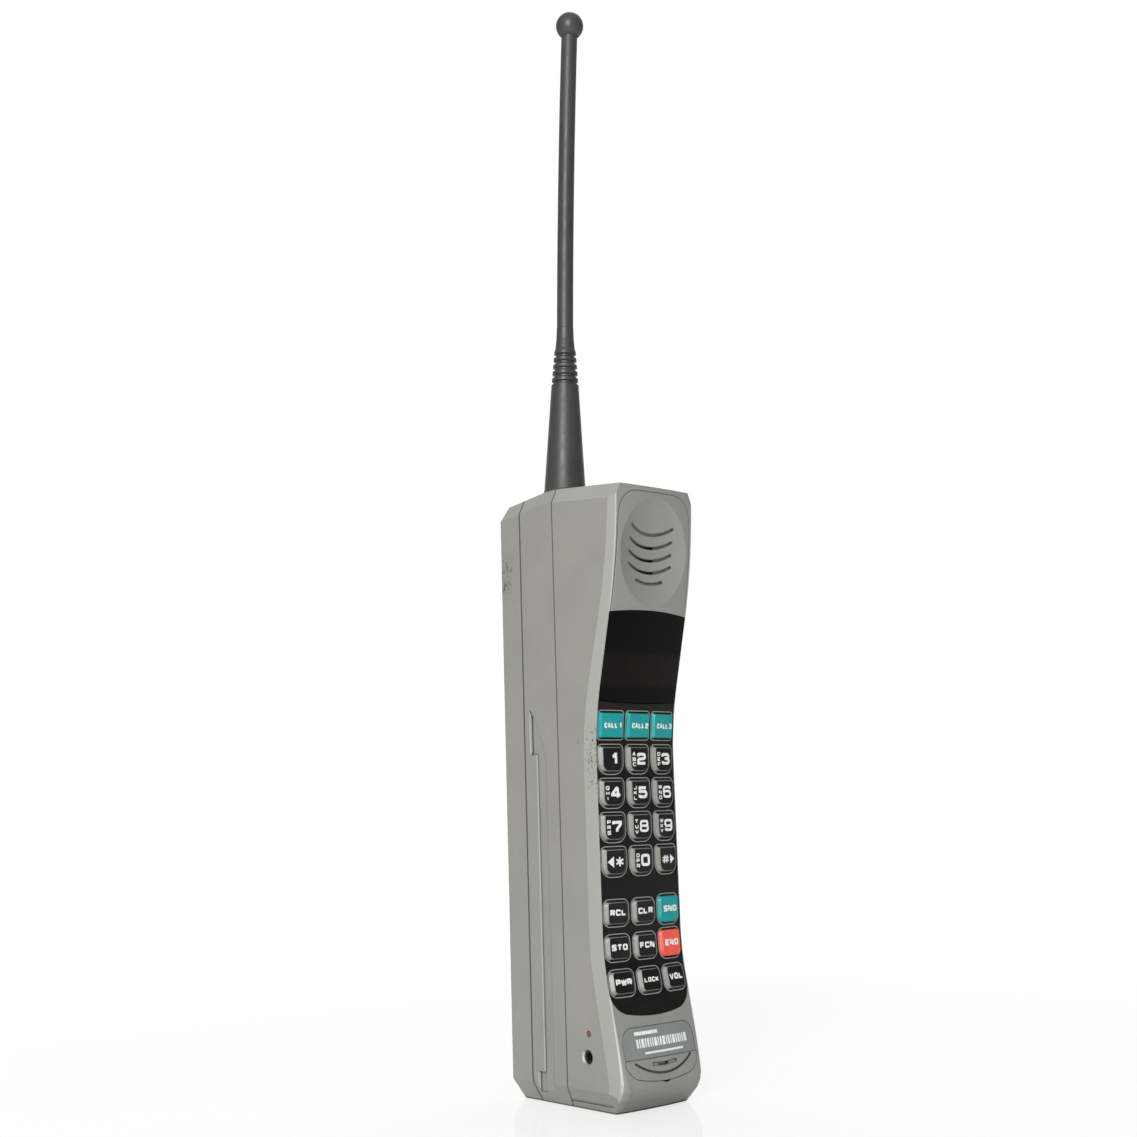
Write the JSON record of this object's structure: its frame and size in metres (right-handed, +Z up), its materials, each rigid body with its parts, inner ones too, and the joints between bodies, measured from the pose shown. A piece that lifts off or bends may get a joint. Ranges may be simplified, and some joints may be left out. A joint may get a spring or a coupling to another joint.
{
  "type": "early mobile brick phone",
  "caption": "Handheld brick mobile phone with a curved keypad face, dished earpiece, smoked display, slim battery pack and a stiff whip antenna with a ball tip.",
  "frame": {"origin": "bottom centre of the whole phone, on the surface it stands on", "axes": "X to the right when looking at the keypad, the keypad faces -Y, +Z up"},
  "size_m": [0.045, 0.0765, 0.4777],
  "materials": {
    "case_grey": "fine textured grey paint",
    "lid_black": "matt black",
    "cell_sleeve": "shrink sleeved cell, light metal density",
    "brass": "plated",
    "steel": "zinc plated",
    "smoked_window": "smoked, polished",
    "board_green": "solder mask",
    "digit_red": "clear red over dark",
    "panel_black": "satin black",
    "silicone_grey": "silicone",
    "carbon": "carbon pill",
    "label_grey": "satin printed foil",
    "microphone_metal": "satin",
    "rubber_black": "matt",
    "lens_red": "clear red",
    "socket_black": "matt",
    "tinned_steel": "tinned",
    "speaker_metal": "plated",
    "foam_black": "foam",
    "antenna_black": "satin black",
    "key_grey": "light grey with a black printed top",
    "key_teal": "teal",
    "key_red": "coral red"
  },
  "bodies": {
    "phone": {"front_housing": "case_grey", "rear_housing": "case_grey", "ear_panel": "case_grey", "mouthpiece_cover": "case_grey", "battery_terminals": "brass", "display_window": "smoked_window", "display_board": "board_green", "display_digits": "digit_red", "keypad_panel": "panel_black", "keypad_mat": "silicone_grey", "key_contacts": "carbon", "keypad_board": "board_green", "label_plate": "label_grey", "microphone": "microphone_metal", "microphone_boot": "rubber_black", "indicator_lens": "lens_red", "jack_socket": "socket_black", "logic_board": "board_green", "radio_board": "board_green", "shield_can": "tinned_steel", "duplexer_filter": "tinned_steel", "speaker": "speaker_metal", "speaker_gasket": "foam_black", "antenna_bushing": "brass", "housing_screws": "steel"},
    "battery": {"battery_case": "case_grey", "battery_lid": "lid_black", "battery_cells": "cell_sleeve", "battery_contacts": "brass", "latch_spring": "steel"},
    "latch": {"battery_latch": "case_grey"},
    "seal_ring": {"antenna_seal_ring": "rubber_black"},
    "antenna": {"antenna_base": "antenna_black", "antenna_whip": "antenna_black", "antenna_ball": "antenna_black", "antenna_core": "brass"},
    "key_call_1": {"key_call_1": "key_teal"},
    "key_call_2": {"key_call_2": "key_teal"},
    "key_call_3": {"key_call_3": "key_teal"},
    "key_1": {"key_1": "key_grey"},
    "key_2": {"key_2": "key_grey"},
    "key_3": {"key_3": "key_grey"},
    "key_4": {"key_4": "key_grey"},
    "key_5": {"key_5": "key_grey"},
    "key_6": {"key_6": "key_grey"},
    "key_7": {"key_7": "key_grey"},
    "key_8": {"key_8": "key_grey"},
    "key_9": {"key_9": "key_grey"},
    "key_star": {"key_star": "key_grey"},
    "key_0": {"key_0": "key_grey"},
    "key_hash": {"key_hash": "key_grey"},
    "key_rcl": {"key_rcl": "key_grey"},
    "key_clr": {"key_clr": "key_grey"},
    "key_snd": {"key_snd": "key_teal"},
    "key_sto": {"key_sto": "key_grey"},
    "key_fcn": {"key_fcn": "key_grey"},
    "key_end": {"key_end": "key_red"},
    "key_pwr": {"key_pwr": "key_grey"},
    "key_lock": {"key_lock": "key_grey"},
    "key_vol": {"key_vol": "key_grey"}
  },
  "joints": [
    {"name": "key_call_1_press", "type": "slide", "parent": "phone", "child": "key_call_1", "axis": [0.0838, 0.9909, 0.1058], "range_m": [0, 0.0008], "stiffness_N_per_m": 1200, "springref_m": -0.0003},
    {"name": "key_call_2_press", "type": "slide", "parent": "phone", "child": "key_call_2", "axis": [0, 0.9944, 0.1061], "range_m": [0, 0.0008], "stiffness_N_per_m": 1200, "springref_m": -0.0003},
    {"name": "key_call_3_press", "type": "slide", "parent": "phone", "child": "key_call_3", "axis": [-0.0838, 0.9909, 0.1058], "range_m": [0, 0.0008], "stiffness_N_per_m": 1200, "springref_m": -0.0003},
    {"name": "key_1_press", "type": "slide", "parent": "phone", "child": "key_1", "axis": [0.0843, 0.9964, 0], "range_m": [0, 0.0008], "stiffness_N_per_m": 1200, "springref_m": -0.0003},
    {"name": "key_2_press", "type": "slide", "parent": "phone", "child": "key_2", "axis": [0, 1, 0], "range_m": [0, 0.0008], "stiffness_N_per_m": 1200, "springref_m": -0.0003},
    {"name": "key_3_press", "type": "slide", "parent": "phone", "child": "key_3", "axis": [-0.0843, 0.9964, 0], "range_m": [0, 0.0008], "stiffness_N_per_m": 1200, "springref_m": -0.0003},
    {"name": "key_4_press", "type": "slide", "parent": "phone", "child": "key_4", "axis": [0.0843, 0.9964, -0.0042], "range_m": [0, 0.0008], "stiffness_N_per_m": 1200, "springref_m": -0.0003},
    {"name": "key_5_press", "type": "slide", "parent": "phone", "child": "key_5", "axis": [0, 1, -0.0043], "range_m": [0, 0.0008], "stiffness_N_per_m": 1200, "springref_m": -0.0003},
    {"name": "key_6_press", "type": "slide", "parent": "phone", "child": "key_6", "axis": [-0.0843, 0.9964, -0.0042], "range_m": [0, 0.0008], "stiffness_N_per_m": 1200, "springref_m": -0.0003},
    {"name": "key_7_press", "type": "slide", "parent": "phone", "child": "key_7", "axis": [0.0843, 0.9964, -0.0042], "range_m": [0, 0.0008], "stiffness_N_per_m": 1200, "springref_m": -0.0003},
    {"name": "key_8_press", "type": "slide", "parent": "phone", "child": "key_8", "axis": [0, 1, -0.0043], "range_m": [0, 0.0008], "stiffness_N_per_m": 1200, "springref_m": -0.0003},
    {"name": "key_9_press", "type": "slide", "parent": "phone", "child": "key_9", "axis": [-0.0843, 0.9964, -0.0042], "range_m": [0, 0.0008], "stiffness_N_per_m": 1200, "springref_m": -0.0003},
    {"name": "key_star_press", "type": "slide", "parent": "phone", "child": "key_star", "axis": [0.0843, 0.9964, -0.0042], "range_m": [0, 0.0008], "stiffness_N_per_m": 1200, "springref_m": -0.0003},
    {"name": "key_0_press", "type": "slide", "parent": "phone", "child": "key_0", "axis": [0, 1, -0.0043], "range_m": [0, 0.0008], "stiffness_N_per_m": 1200, "springref_m": -0.0003},
    {"name": "key_hash_press", "type": "slide", "parent": "phone", "child": "key_hash", "axis": [-0.0843, 0.9964, -0.0042], "range_m": [0, 0.0008], "stiffness_N_per_m": 1200, "springref_m": -0.0003},
    {"name": "key_rcl_press", "type": "slide", "parent": "phone", "child": "key_rcl", "axis": [0.0843, 0.9964, -0.0042], "range_m": [0, 0.0008], "stiffness_N_per_m": 1200, "springref_m": -0.0003},
    {"name": "key_clr_press", "type": "slide", "parent": "phone", "child": "key_clr", "axis": [0, 1, -0.0043], "range_m": [0, 0.0008], "stiffness_N_per_m": 1200, "springref_m": -0.0003},
    {"name": "key_snd_press", "type": "slide", "parent": "phone", "child": "key_snd", "axis": [-0.0843, 0.9964, -0.0042], "range_m": [0, 0.0008], "stiffness_N_per_m": 1200, "springref_m": -0.0003},
    {"name": "key_sto_press", "type": "slide", "parent": "phone", "child": "key_sto", "axis": [0.0841, 0.9944, -0.0647], "range_m": [0, 0.0008], "stiffness_N_per_m": 1200, "springref_m": -0.0003},
    {"name": "key_fcn_press", "type": "slide", "parent": "phone", "child": "key_fcn", "axis": [0, 0.9979, -0.065], "range_m": [0, 0.0008], "stiffness_N_per_m": 1200, "springref_m": -0.0003},
    {"name": "key_end_press", "type": "slide", "parent": "phone", "child": "key_end", "axis": [-0.0841, 0.9944, -0.0647], "range_m": [0, 0.0008], "stiffness_N_per_m": 1200, "springref_m": -0.0003},
    {"name": "key_pwr_press", "type": "slide", "parent": "phone", "child": "key_pwr", "axis": [0.0826, 0.9765, -0.1993], "range_m": [0, 0.0008], "stiffness_N_per_m": 1200, "springref_m": -0.0003},
    {"name": "key_lock_press", "type": "slide", "parent": "phone", "child": "key_lock", "axis": [0, 0.9798, -0.2], "range_m": [0, 0.0008], "stiffness_N_per_m": 1200, "springref_m": -0.0003},
    {"name": "key_vol_press", "type": "slide", "parent": "phone", "child": "key_vol", "axis": [-0.0826, 0.9765, -0.1993], "range_m": [0, 0.0008], "stiffness_N_per_m": 1200, "springref_m": -0.0003},
    {"name": "battery_pull", "type": "slide", "parent": "phone", "child": "battery", "axis": [0, 1, 0], "range_m": [0, 0.03]},
    {"name": "latch_slide", "type": "slide", "parent": "battery", "child": "latch", "axis": [0, 0, -1], "range_m": [0, 0.003], "stiffness_N_per_m": 500, "springref_m": -0.002, "deforming": ["latch_spring"]},
    {"name": "antenna_lift", "type": "slide", "parent": "phone", "child": "seal_ring", "axis": [0, -0.0454, 0.999], "range_m": [0, 0.006]},
    {"name": "antenna_turn", "type": "hinge", "parent": "seal_ring", "child": "antenna", "pos_m": [-0.005, 0.0143, 0.2546], "axis": [0, -0.0454, 0.999], "range_deg": [0, 2196]}
  ],
  "couplings": [
    {"joint": "antenna_turn", "follows": "antenna_lift", "rad_per_m": 6283.2}
  ]
}
